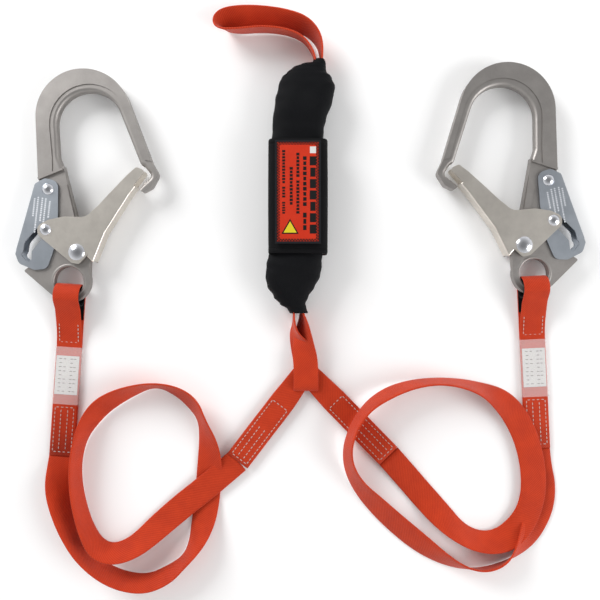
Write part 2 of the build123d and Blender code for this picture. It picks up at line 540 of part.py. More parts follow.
def label_pack():
    """Everything on the wrap: fastener tape, leaves, and the flap that carries the label."""
    strip_right = FLAP_RIGHT - 1.0
    strip_left = strip_right - STRIP_WIDTH
    pieces = {
        "fastener_hook_strip": slab(strip_left, strip_right, FLAP_LOW + 4, FLAP_HIGH - 4,
                                    WRAP_HEIGHT, WRAP_HEIGHT + STRIP_THICK),
        "fastener_loop_strip": slab(strip_left, strip_right, FLAP_LOW + 4, FLAP_HIGH - 4,
                                    FLAP_FLOOR - STRIP_THICK, FLAP_FLOOR),
        "label_flap": slab(FLAP_LEFT, FLAP_RIGHT, FLAP_LOW, FLAP_HIGH, FLAP_FLOOR, FLAP_FLOOR + FLAP_THICK),
    }
    for number in range(LEAF_COUNT):
        low = WRAP_HEIGHT + 0.1 + number * (LEAF_THICK + LEAF_GAP)
        pieces[f"instruction_leaf_{number + 1}"] = slab(
            FLAP_LEFT + 3, strip_left - 1.5, FLAP_LOW + 4, FLAP_HIGH - 4 - 2 * number, low, low + LEAF_THICK)
    top = FLAP_FLOOR + FLAP_THICK
    panel = slab(FLAP_LEFT + LABEL_BORDER, FLAP_RIGHT - LABEL_BORDER, FLAP_LOW + LABEL_BORDER,
                 FLAP_HIGH - LABEL_BORDER, top, top + 0.5)
    pieces["label_print"] = panel
    pieces["label_binding"] = slab(FLAP_LEFT, FLAP_RIGHT, FLAP_LOW, FLAP_HIGH, top, top + 0.8) \
        - slab(FLAP_LEFT + LABEL_BORDER, FLAP_RIGHT - LABEL_BORDER, FLAP_LOW + LABEL_BORDER,
               FLAP_HIGH - LABEL_BORDER, top - 1, top + 1)
    return pieces


# ------------------------------------------------------------------ the whole lanyard
def hook_pieces():
    """One hook in its own frame, with its middle plane at height 0."""
    spring_low = HALF_PLATE - 0.9
    return {
        "hook_body": hook_body(),
        "gate": gate(),
        "gate_rivet": rivet(GATE_PIVOT, GATE_SHAFT, GATE_DOME, GATE_OUT + 0.1),
        "gate_pin": rivet(TAIL_PIN, TAIL_SHAFT, TAIL_DOME, GATE_OUT),
        "gate_spring": torsion_spring(GATE_PIVOT, GATE_SHAFT + 1.2, spring_low),
        "lever": lever(),
        "lever_rivet": rivet(LEVER_PIVOT, LEVER_SHAFT, LEVER_DOME, LEVER_OUT + 0.1),
    }


def strap_pieces():
    return {"web_eye": hook_strap(), "wear_pad": wear_pad(), "id_label": id_label(), "label_sleeve": label_sleeve()}


def side_pieces(side, strap_end, lean, strap_turn, mirrored):
    """All nodes of one side, in place in the layout, laid out from the strap's sewn end."""
    reach = STRAP_PIVOT + STRAP_LENGTH
    eye = (strap_end[0] - reach * math.sin(math.radians(strap_turn)),
           strap_end[1] + reach * math.cos(math.radians(strap_turn)))
    placed = {}
    for name, solid in hook_pieces().items():
        flipped = mirror(solid, about=Plane.YZ) if mirrored else solid
        placed[f"{side}_{name}"] = Pos(eye[0], eye[1], HOOK_HEIGHT) * Rot(0, 0, lean) * flipped
    for name, solid in strap_pieces().items():
        placed[f"{side}_{name}"] = Pos(eye[0], eye[1], HOOK_HEIGHT) * Rot(0, 0, strap_turn) \
            * Pos(0, -STRAP_PIVOT, 0) * solid
    return placed


def build():
    nodes = {}
    nodes.update(side_pieces("left", LEFT_STRAP_END, LEFT_LEAN, LEFT_STRAP_TURN, False))
    nodes.update(side_pieces("right", RIGHT_STRAP_END, RIGHT_LEAN, RIGHT_STRAP_TURN, True))
    nodes["left_leg_webbing"] = ribbon("left leg", LEFT_ROUTE)
    nodes["right_leg_webbing"] = ribbon("right leg", RIGHT_ROUTE)
    nodes["yoke_webbing"] = yoke()
    nodes["absorber_leg_loop"] = leg_loop()
    nodes["absorber_cover"] = absorber_cover()
    nodes["absorber_upper_ply"] = tear_ply(130.0)
    nodes["absorber_lower_ply"] = tear_ply(50.0)
    nodes["harness_loop"] = harness_loop()
    nodes["label_wrap"] = label_wrap()
    nodes.update(label_pack())
    middle = Pos(-LAYOUT_MIDDLE[0], -LAYOUT_MIDDLE[1], 0)
    return {name: middle * solid for name, solid in nodes.items()}


os.makedirs("parts", exist_ok=True)
for node_name, node_solid in build().items():
    export_step(node_solid, f"parts/{node_name}.step")
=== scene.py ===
"""Shock absorbing lanyard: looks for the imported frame, with webbing, hooks, pack and label."""

import logging
import math
from dataclasses import dataclass, field
from enum import Enum
from typing import Iterable, Optional, Sequence

import bmesh
import bpy
from mathutils import Matrix, Vector, noise


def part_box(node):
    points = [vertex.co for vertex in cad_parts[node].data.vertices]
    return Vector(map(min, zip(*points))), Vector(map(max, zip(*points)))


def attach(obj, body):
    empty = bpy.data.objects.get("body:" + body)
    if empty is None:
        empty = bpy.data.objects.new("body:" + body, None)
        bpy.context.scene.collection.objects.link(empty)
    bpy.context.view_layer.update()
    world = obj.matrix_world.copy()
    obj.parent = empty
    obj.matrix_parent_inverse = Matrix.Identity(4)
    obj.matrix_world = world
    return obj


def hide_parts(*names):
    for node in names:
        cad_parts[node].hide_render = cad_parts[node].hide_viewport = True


LOG = logging.getLogger("lanyard")
logging.basicConfig(level=logging.INFO, format="%(name)s %(message)s")

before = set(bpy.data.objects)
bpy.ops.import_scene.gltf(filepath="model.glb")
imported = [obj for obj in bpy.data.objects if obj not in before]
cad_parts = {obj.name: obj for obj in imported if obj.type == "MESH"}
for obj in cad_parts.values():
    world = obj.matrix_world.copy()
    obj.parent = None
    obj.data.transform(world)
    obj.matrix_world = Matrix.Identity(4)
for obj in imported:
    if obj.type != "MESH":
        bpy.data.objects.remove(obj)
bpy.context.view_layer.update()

MM = 0.001
WEB_WIDTH = 25.4 * MM
WEB_THICK = 1.8 * MM
LAYOUT_MIDDLE = Vector((0.46 * MM, 60.59 * MM, 0.0))
SPAN_STEPS = 8                      # points that each span of a spline gives
# each hook's eye in the layout, in millimetres, and the turns of the hook and of its strap, in degrees
LEFT_EYE, LEFT_LEAN, LEFT_STRAP_TURN = (-228.8, 18.5), -6.35, -3.9
RIGHT_EYE, RIGHT_LEAN, RIGHT_STRAP_TURN = (231.8, 26.4), 10.5, 2.7
FLOOR_SIZE, FLOOR_LEVEL, FLOOR_SHADE = 12.0, -0.0005, (0.96, 0.96, 0.96, 1.0)
SKY_LOW, SKY_HIGH = 1.15, 0.30      # brightness near the horizon and overhead
LAMPS = (("key", (-1.6, 1.5, 1.2), 1.2, 49.0), ("fill", (1.9, -0.7, 1.1), 1.3, 28.0))

Route = Sequence[tuple[float, float, float, float]]
Colour = tuple[float, float, float]

LEFT_ROUTE: Route = [
    (-63.0, -162.0, 3.6, 0), (-80.0, -177.0, 3.4, 0), (-98.0, -191.5, 2.8, 0), (-119.0, -208.0, 1.0, 10),
    (-142.0, -227.5, 0.2, 20), (-164.3, -246.7, 0.2, 42), (-186.0, -254.5, 0.2, 56), (-203.0, -248.0, 0.2, 64),
    (-213.3, -228.0, 0.2, 74), (-220.0, -205.0, 0.2, 77), (-223.5, -183.0, 0.2, 80), (-223.5, -160.0, 0.2, 80),
    (-218.5, -137.0, 0.2, 74), (-208.0, -117.0, 0.2, 52), (-195.4, -103.5, 0.2, 46), (-172.0, -91.5, 0.2, 60),
    (-146.0, -83.7, 0.2, 78), (-123.0, -90.6, 0.2, 60), (-107.0, -103.0, 0.2, 52), (-97.5, -120.0, 0.2, 66),
    (-92.0, -141.0, 0.2, 40), (-91.0, -160.0, 0.2, 16), (-92.3, -180.0, 0.2, 0), (-94.0, -203.0, 0.2, 0),
    (-97.5, -224.0, 0.2, 18), (-104.0, -243.0, 0.2, 54), (-115.0, -260.5, 0.2, 78), (-131.0, -274.0, 0.2, 64),
    (-153.0, -283.5, 0.2, 66), (-178.0, -280.0, 0.2, 68), (-199.0, -269.7, 0.2, 72), (-218.0, -253.4, 0.2, 78),
    (-230.0, -232.0, 0.2, 69), (-238.5, -209.0, 0.2, 56), (-243.0, -188.0, 0.3, 36), (-242.2, -170.0, 0.4, 10),
    (-240.9, -157.3, 1.5, 0)]
RIGHT_ROUTE: Route = [
    (89.0, -157.0, 3.6, 0), (106.0, -176.5, 1.6, 0), (124.0, -197.5, 0.4, 0), (141.0, -216.0, 0.2, -18),
    (158.0, -231.5, 0.2, -46), (175.0, -240.5, 0.2, -52), (192.0, -242.5, 0.4, -50), (208.0, -238.0, 1.4, -34),
    (222.0, -227.0, 3.0, -8), (231.5, -211.0, 3.6, 0), (235.5, -190.0, 4.8, 0), (234.0, -165.0, 5.2, 0),
    (228.0, -140.0, 5.3, 0), (217.0, -117.0, 5.3, 4), (203.0, -101.0, 3.6, 24), (184.0, -90.0, 0.2, 62),
    (162.0, -83.0, 0.2, 76), (136.0, -80.5, 0.2, 83), (110.0, -84.0, 1.0, 78), (86.0, -92.5, 4.0, 72),
    (66.0, -105.5, 7.4, 78), (53.0, -125.0, 8.0, 80), (46.5, -146.0, 7.2, 76), (48.5, -166.0, 3.6, 68),
    (58.0, -185.0, 0.6, 56), (75.0, -204.0, 0.2, 38), (96.0, -224.0, 0.2, 30), (119.0, -243.0, 0.2, 30),
    (143.0, -259.0, 0.2, 51), (165.0, -268.0, 0.2, 69), (186.0, -269.0, 0.2, 78), (206.0, -261.5, 0.2, 72),
    (223.0, -246.5, 0.2, 40), (236.0, -228.0, 0.2, 6), (245.0, -208.0, 0.2, 0), (246.5, -187.0, 0.2, 0),
    (241.8, -167.0, 0.6, 0), (240.1, -149.5, 1.5, 0)]


class Slot(Enum):
    """The record's material slots."""

    FORGED = "forged_steel"
    PLATED = "plated_steel"
    LEVER = "lever_steel"
    RIVET = "rivet_steel"
    SPRING = "spring_steel"
    WEBBING = "webbing"
    BLACK = "black_fabric"
    COVER = "cover_fabric"
    WHITE = "label_white"
    CLEAR = "clear_sleeve"
    TEAR = "tear_webbing"
    TAPE = "fastener_tape"
    LEAF = "leaf"
    RED = "label_red"
    BINDING = "binding"


# ---------------------------------------------------------------- shader groups and finishes
class Group:
    """A node group under construction."""

    def __init__(self, name: str, inputs: Sequence[tuple[str, str, object]],
                 outputs: Sequence[tuple[str, str]]) -> None:
        """Makes the group and its sockets.

        Args:
            name: the group's name.
            inputs: name, socket type and default of each input.
            outputs: name and socket type of each output.
        """
        self.tree = bpy.data.node_groups.new(name, "ShaderNodeTree")
        for label, kind, default in inputs:
            socket = self.tree.interface.new_socket(label, in_out="INPUT", socket_type=kind)
            if default is not None:
                socket.default_value = default
        for label, kind in outputs:
            self.tree.interface.new_socket(label, in_out="OUTPUT", socket_type=kind)
        self.entry = self.tree.nodes.new("NodeGroupInput")
        self.exit = self.tree.nodes.new("NodeGroupOutput")

    def node(self, kind: str, links: Optional[dict] = None, **settings: object) -> bpy.types.Node:
        """Adds a node; links maps its input names or numbers to sockets or values."""
        return add_node(self.tree, kind, links, **settings)


def add_node(tree: bpy.types.NodeTree, kind: str, links: Optional[dict] = None, **settings: object) -> bpy.types.Node:
    """Adds a node to a tree.

    Args:
        tree: the node tree.
        kind: the node's type name.
        links: input name or number to a socket to link, or a plain value.
        settings: attributes of the node itself.

    Returns:
        The new node.
    """
    made = tree.nodes.new(kind)
    for name, value in settings.items():
        setattr(made, name, value)
    for key, value in (links or {}).items():
        if isinstance(value, bpy.types.NodeSocket):
            tree.links.new(value, made.inputs[key])
        else:
            made.inputs[key].default_value = value
    return made


def weave_group() -> bpy.types.NodeTree:
    """Ribbed weave from a vector in metres: X across the webbing, Y along it; its colour is painted darker in the low
    grooves as shade, with random fuzz tone on top.
    """
    group = Group("Weave", [
        ("Vector", "NodeSocketVector", None), ("Colour", "NodeSocketColor", None),
        ("Shade", "NodeSocketColor", None), ("Across", "NodeSocketFloat", 900.0),
        ("Along", "NodeSocketFloat", 520.0)],
        [("Colour", "NodeSocketColor"), ("Height", "NodeSocketFloat"), ("Roughness", "NodeSocketFloat")])
    vector = group.entry.outputs["Vector"]
    ribs = group.node("ShaderNodeTexWave", {"Vector": vector, "Scale": group.entry.outputs["Along"],
                                            "Distortion": 0.0},
                      wave_type="BANDS", bands_direction="DIAGONAL")
    warp = group.node("ShaderNodeTexWave", {"Vector": vector, "Scale": group.entry.outputs["Across"],
                                            "Distortion": 0.4, "Detail": 1.0},
                      wave_type="BANDS", bands_direction="X")
    fuzz = group.node("ShaderNodeTexNoise", {"Vector": vector, "Scale": 60.0, "Detail": 5.0})
    height = group.node("ShaderNodeMath", {0: ribs.outputs["Fac"], 1: warp.outputs["Fac"]}, operation="MULTIPLY")
    # painted shade: the weave's bump height, so that its low grooves come out darker
    groove_shade = group.node("ShaderNodeMath", {0: height.outputs[0], 1: 0.55, 2: 0.1}, operation="MULTIPLY_ADD")
    soft = group.node("ShaderNodeMath", {0: fuzz.outputs["Fac"], 1: 0.55, 2: groove_shade.outputs[0]},
                      operation="MULTIPLY_ADD")
    # colour: painted shade in the low grooves, mixed with random fuzz tone
    colour = group.node("ShaderNodeMix", {0: soft.outputs[0], 6: group.entry.outputs["Shade"],
                                          7: group.entry.outputs["Colour"]}, data_type="RGBA")
    rough = group.node("ShaderNodeMath", {0: fuzz.outputs["Fac"], 1: 0.25, 2: 0.55}, operation="MULTIPLY_ADD")
    tree = group.tree
    tree.links.new(colour.outputs[2], group.exit.inputs["Colour"])
    tree.links.new(height.outputs[0], group.exit.inputs["Height"])
    tree.links.new(rough.outputs[0], group.exit.inputs["Roughness"])
    return tree


def metal_group() -> bpy.types.NodeTree:
    """Satin metal with cloudy patches and fine grain, from object coordinates."""
    group = Group("SatinMetal", [
        ("Vector", "NodeSocketVector", None), ("Colour", "NodeSocketColor", None),
        ("Stain", "NodeSocketColor", None), ("Base Roughness", "NodeSocketFloat", 0.35)],
        [("Colour", "NodeSocketColor"), ("Height", "NodeSocketFloat"), ("Roughness", "NodeSocketFloat")])
    vector = group.entry.outputs["Vector"]
    cloud = group.node("ShaderNodeTexNoise", {"Vector": vector, "Scale": 45.0, "Detail": 4.0, "Roughness": 0.6})
    grain = group.node("ShaderNodeTexNoise", {"Vector": vector, "Scale": 900.0, "Detail": 3.0})
    ramp = group.node("ShaderNodeMapRange", {0: cloud.outputs["Fac"], 1: 0.35, 2: 0.68, 3: 0.0, 4: 0.55})
    colour = group.node("ShaderNodeMix", {0: ramp.outputs[0], 6: group.entry.outputs["Colour"],
                                          7: group.entry.outputs["Stain"]}, data_type="RGBA")
    rough = group.node("ShaderNodeMath", {0: grain.outputs["Fac"], 1: 0.2, 2: group.entry.outputs["Base Roughness"]},
                       operation="MULTIPLY_ADD")
    tree = group.tree
    tree.links.new(colour.outputs[2], group.exit.inputs["Colour"])
    tree.links.new(grain.outputs["Fac"], group.exit.inputs["Height"])
    tree.links.new(rough.outputs[0], group.exit.inputs["Roughness"])
    return tree


@dataclass(frozen=True)
class Finish:
    """One finish: a shader group with its own values, in a material."""

    name: str
    colour: Colour
    # darker colour: a stain for metals; for cloth and print, the painted shade of the weave's low grooves
    shade: Colour
    roughness: float = 0.4
    metallic: float = 0.0
    bump: float = 0.3
    depth: float = 0.0002
    sheen: float = 0.0
    across: float = 900.0
    along: float = 520.0
    use_uv: bool = False

    def make(self, groups: dict[str, bpy.types.NodeTree]) -> bpy.types.Material:
        """Builds the material.

        Args:
            groups: the shared shader groups by name.

        Returns:
            The material.
        """
        material = bpy.data.materials.new(self.name)
        material.use_nodes = True
        tree = material.node_tree
        shader = tree.nodes["Principled BSDF"]
        place = add_node(tree, "ShaderNodeTexCoord")
        vector = place.outputs["UV" if self.use_uv else "Object"]
        kind = "metal" if self.metallic > 0.5 else "weave"
        block = add_node(tree, "ShaderNodeGroup", node_tree=groups[kind])
        tree.links.new(vector, block.inputs["Vector"])
        block.inputs["Colour"].default_value = (*self.colour, 1.0)
        if kind == "metal":
            block.inputs["Stain"].default_value = (*self.shade, 1.0)
            block.inputs["Base Roughness"].default_value = self.roughness
        else:
            block.inputs["Shade"].default_value = (*self.shade, 1.0)
            block.inputs["Across"].default_value = self.across
            block.inputs["Along"].default_value = self.along
        bump = add_node(tree, "ShaderNodeBump", {"Height": block.outputs["Height"], "Strength": self.bump,
                                                 "Distance": self.depth})
        tree.links.new(block.outputs["Colour"], shader.inputs["Base Color"])
        tree.links.new(block.outputs["Roughness"], shader.inputs["Roughness"])
        tree.links.new(bump.outputs["Normal"], shader.inputs["Normal"])
        shader.inputs["Metallic"].default_value = self.metallic
        shader.inputs["Sheen Weight"].default_value = self.sheen
        shader.inputs["Specular IOR Level"].default_value = 0.5 if kind == "metal" else 0.12
        return material


# each finish: its colour, then a darker colour that is a stain on metals and painted groove shade on cloth and print
FINISHES: dict[Slot, Finish] = {
    Slot.FORGED: Finish("Forged steel", (0.37, 0.35, 0.335), (0.26, 0.245, 0.235), 0.40, 1.0, 0.35),
    Slot.PLATED: Finish("Plated gate steel", (0.80, 0.755, 0.69), (0.60, 0.56, 0.51), 0.26, 1.0, 0.12),
    Slot.LEVER: Finish("Zinc lever steel", (0.44, 0.475, 0.52), (0.32, 0.35, 0.39), 0.32, 1.0, 0.12),
    Slot.RIVET: Finish("Bright rivet", (0.62, 0.63, 0.66), (0.45, 0.46, 0.50), 0.10, 1.0, 0.03),
    Slot.SPRING: Finish("Spring wire", (0.35, 0.35, 0.36), (0.25, 0.25, 0.26), 0.3, 1.0, 0.05),
    Slot.WEBBING: Finish("Orange webbing", (0.66, 0.058, 0.013), (0.30, 0.016, 0.004), bump=0.55,
                         depth=0.0003, sheen=0.12, across=420.0, along=260.0, use_uv=True),
    Slot.BLACK: Finish("Black wrap fabric", (0.004, 0.004, 0.005), (0.001, 0.001, 0.0015), bump=0.5, sheen=0.0),
    Slot.COVER: Finish("Black knit cover", (0.003, 0.0035, 0.005), (0.001, 0.001, 0.0015), bump=0.7, sheen=0.0,
                       across=500.0, along=300.0),
    Slot.WHITE: Finish("White label", (0.72, 0.72, 0.70), (0.52, 0.50, 0.50), bump=0.1),
    Slot.TEAR: Finish("Tear webbing", (0.62, 0.56, 0.44), (0.42, 0.36, 0.27), bump=0.5),
    Slot.TAPE: Finish("Fastener tape", (0.03, 0.03, 0.03), (0.008, 0.008, 0.008), bump=0.9, across=700.0),
    Slot.LEAF: Finish("Paper leaf", (0.78, 0.78, 0.74), (0.7, 0.7, 0.66), bump=0.05),
    Slot.RED: Finish("Red label fabric", (0.62, 0.040, 0.014), (0.42, 0.020, 0.006), bump=0.35),
    Slot.BINDING: Finish("Black binding", (0.018, 0.018, 0.022), (0.005, 0.005, 0.006), bump=0.6),
}


class Wardrobe:
    """All materials, made once."""

    def __init__(self) -> None:
        """Builds the shared groups and every finish."""
        groups = {"weave": weave_group(), "metal": metal_group()}
        self.by_slot: dict[Slot, bpy.types.Material] = {
            slot: finish.make(groups) for slot, finish in FINISHES.items()}
        self.by_slot[Slot.CLEAR] = self.clear_film()
        # second colours: painted groove shade for the thread and print finishes, a stain for the stamping
        self.thread = Finish("Grey thread", (0.62, 0.58, 0.55), (0.40, 0.36, 0.34), bump=0.2).make(groups)
        self.ink = Finish("Black print", (0.012, 0.012, 0.012), (0.006, 0.006, 0.006), bump=0.1).make(groups)
        self.yellow = Finish("Yellow print", (0.72, 0.60, 0.03), (0.55, 0.42, 0.02), bump=0.1).make(groups)
        self.stamp = Finish("Pale stamping", (0.80, 0.82, 0.85), (0.62, 0.65, 0.70), 0.45, 1.0, 0.05).make(groups)
        self.grey_ink = Finish("Grey print", (0.22, 0.20, 0.20), (0.14, 0.12, 0.12), bump=0.1).make(groups)

    @staticmethod
    def clear_film() -> bpy.types.Material:
        """Thin clear plastic film."""
        material = bpy.data.materials.new("Clear film")
        material.use_nodes = True
        shader = material.node_tree.nodes["Principled BSDF"]
        shader.inputs["Base Color"].default_value = (0.95, 0.93, 0.92, 1.0)
        shader.inputs["Roughness"].default_value = 0.12
        shader.inputs["Alpha"].default_value = 0.16
        shader.inputs["Coat Weight"].default_value = 0.4
        return material


def finish_piece(piece: bpy.types.Object, body: str, material: bpy.types.Material,
                 stands_for: Iterable[str] = ()) -> bpy.types.Object:
    """Gives a piece its material and body, and hides the CAD nodes that it replaces.

    Args:
        piece: the object, in place.
        body: the CAD body it rides on.
        material: what it is dressed in.
        stands_for: CAD nodes that it replaces.

    Returns:
        The same piece.
    """
    piece.data.materials.clear()
    piece.data.materials.append(material)
    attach(piece, body)
    nodes = list(stands_for)
    if nodes:
        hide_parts(*nodes)
    LOG.info("%s on %s", piece.name, body)
    return piece


def new_piece(name: str, mesh: bmesh.types.BMesh) -> bpy.types.Object:
    """Turns a finished mesh into an object at the origin, and frees the mesh."""
    data = bpy.data.meshes.new(name)
    mesh.to_mesh(data)
    mesh.free()
    piece = bpy.data.objects.new(name, data)
    bpy.context.scene.collection.objects.link(piece)
    return piece


# ---------------------------------------------------------------- swept webbing
@dataclass
class Station:
    """One section of a swept webbing: its middle, the way its width runs, and the way its face looks."""

    middle: Vector
    wide: Vector
    up: Vector


def place(x: float, y: float, z: float = 0.0) -> Vector:
    """A point of the shared frame, in metres, from its place in the layout, in millimetres."""
    return Vector((x * MM, y * MM, z * MM)) - LAYOUT_MIDDLE


def section_outline(width: float, thick: float) -> list[tuple[float, float]]:
    """Outline of flat webbing with soft selvedges, from left over the top and back."""
    half, rise = width / 2, thick / 2
    top = [(-half, 0.0), (-half * 0.975, rise * 0.72), (-half * 0.90, rise), (-half * 0.45, rise * 0.94),
           (0.0, rise * 0.92), (half * 0.45, rise * 0.94), (half * 0.90, rise), (half * 0.975, rise * 0.72),
           (half, 0.0)]
    return top + [(x, -y) for x, y in reversed(top[1:-1])]


def sweep(name: str, stations: Sequence[Station], width: float, thick: float) -> bpy.types.Object:
    """Builds a webbing mesh through stations, with UVs in metres: across, then along.

    Args:
        name: the piece's name.
        stations: its sections in order.
        width: webbing width in metres.
        thick: webbing thickness in metres.

    Returns:
        The new object, at the origin.
    """
    outline = section_outline(width, thick)
    count = len(outline)
    mesh = bmesh.new()
    layer = mesh.loops.layers.uv.new("UVMap")
    rings = [[mesh.verts.new(s.middle + s.wide * x + s.up * y) for x, y in outline] for s in stations]
    along = [0.0]
    for near, far in zip(stations, stations[1:]):
        along.append(along[-1] + (far.middle - near.middle).length)
    for index in range(len(rings) - 1):
        for side in range(count):
            after = (side + 1) % count
            face = mesh.faces.new((rings[index][side], rings[index + 1][side],
                                   rings[index + 1][after], rings[index][after]))
            face.smooth = True
            spots = ((side, index), (side, index + 1), (after, index + 1), (after, index))
            for loop, (at, row) in zip(face.loops, spots):
                loop[layer].uv = (outline[at][0], along[row])
    mesh.faces.new(list(reversed(rings[0])))
    mesh.faces.new(rings[-1])
    bmesh.ops.recalc_face_normals(mesh, faces=mesh.faces)
    return new_piece(name, mesh)


def spline_points(points: Sequence[tuple[float, float, float]]) -> list[Vector]:
    """Points read from a NURBS spline through control points.

    Args:
        points: the control points.

    Returns:
        The points along the curve.
    """
    curve = bpy.data.curves.new("Route", "CURVE")
    curve.dimensions = "3D"
    spline = curve.splines.new("NURBS")
    spline.points.add(len(points) - 1)
    for control, value in zip(spline.points, points):
        control.co = (*value, 1.0)
    spline.order_u = 3
    spline.use_endpoint_u = True
    spline.resolution_u = SPAN_STEPS
    holder = bpy.data.objects.new("Route", curve)
    bpy.context.scene.collection.objects.link(holder)
    bpy.context.view_layer.update()
    mesh = bpy.data.meshes.new_from_object(holder)
    found = [vertex.co.copy() for vertex in mesh.vertices]
    bpy.data.objects.remove(holder)
    bpy.data.curves.remove(curve)
    bpy.data.meshes.remove(mesh)
    return found


def tangent_at(points: Sequence[Vector], index: int) -> Vector:
    """Direction of a line of points at one of them."""
    return (points[min(index + 1, len(points) - 1)] - points[max(index - 1, 0)]).normalized()


def route_stations(route: Route) -> list[Station]:
    """Sections of free webbing along a route of (x, y, clearance, roll)."""
    middles = spline_points([tuple(place(x, y, 0.0)) for x, y, _, _ in route])
    rolls = spline_points([(math.radians(roll), lift * MM, 0.0) for _, _, lift, roll in route])
    stations = []
    for index, (middle, turn) in enumerate(zip(middles, rolls)):
        roll, lift = turn.x, turn.y
        height = lift + WEB_WIDTH / 2 * abs(math.sin(roll)) + WEB_THICK / 2 * math.cos(roll)
        heading = tangent_at(middles, index)
        level = Vector((-heading.y, heading.x, 0.0)).normalized()
        wide = level * math.cos(roll) + Vector((0, 0, math.sin(roll)))
        up = Vector((0, 0, math.cos(roll))) - level * math.sin(roll)
        stations.append(Station(Vector((middle.x, middle.y, height)), wide, up))
    return stations


def line_stations(points: Sequence[Vector], wide: Vector) -> list[Station]:
    """Sections along points, with the webbing's width always the same way."""
    stations = []
    for index, point in enumerate(points):
        heading = tangent_at(points, index)
        stations.append(Station(point, wide, wide.cross(heading).normalized()))
    return stations


@dataclass
class Stitching:
    """Rows of sewn thread on a flat face: each stitch is a short raised bead."""

    name: str
    length: float = 2.6 * MM
    gap: float = 1.3 * MM
    width: float = 0.75 * MM
    rise: float = 0.42 * MM

    def rows(self, lines: Sequence[tuple[Vector, Vector]]) -> bpy.types.Object:
        """Sews along straight lines.

        Args:
            lines: start and end of each row.

        Returns:
            One object with every stitch.
        """
        mesh = bmesh.new()
        up = Vector((0, 0, 1))
        for start, end in lines:
            run = end - start
            count = max(1, int(run.length / (self.length + self.gap)))
            pitch = run / count
            way = run.normalized()
            side = up.cross(way)
            for number in range(count):
                self.bead(mesh, start + pitch * (number + 0.5), way, side, up)
        return new_piece(self.name, mesh)

    def bead(self, mesh: bmesh.types.BMesh, centre: Vector, way: Vector, side: Vector, up: Vector) -> None:
        """Adds one stitch, a six-sided spindle that dips into the cloth at both ends."""
        rings = []
        for share, size, height in ((-0.5, 0.35, -0.15), (-0.28, 1.0, 0.25), (0.28, 1.0, 0.25), (0.5, 0.35, -0.15)):
            ring = []
            for corner in range(6):
                angle = corner * math.pi / 3
                offset = side * math.cos(angle) * self.width / 2 * size + up * math.sin(angle) * self.rise / 2 * size
                ring.append(mesh.verts.new(centre + way * share * self.length + up * height * self.rise + offset))
            rings.append(ring)
        for near, far in zip(rings, rings[1:]):
            for corner in range(6):
                after = (corner + 1) % 6
                mesh.faces.new((near[corner], near[after], far[after], far[corner])).smooth = True
        mesh.faces.new(list(reversed(rings[0])))
        mesh.faces.new(rings[-1])


# ---------------------------------------------------------------- legs
@dataclass
class Leg:
    """One leg's free webbing."""

    side: str
    route: Route
    length: float
    wardrobe: Wardrobe

    def build(self) -> None:
        stations = route_stations(self.route)
        piece = sweep(f"{self.side}_leg_cloth", stations, WEB_WIDTH, WEB_THICK)
        finish_piece(piece, "root", self.wardrobe.by_slot[Slot.WEBBING],
                     [f"{self.side}_leg_webbing"])


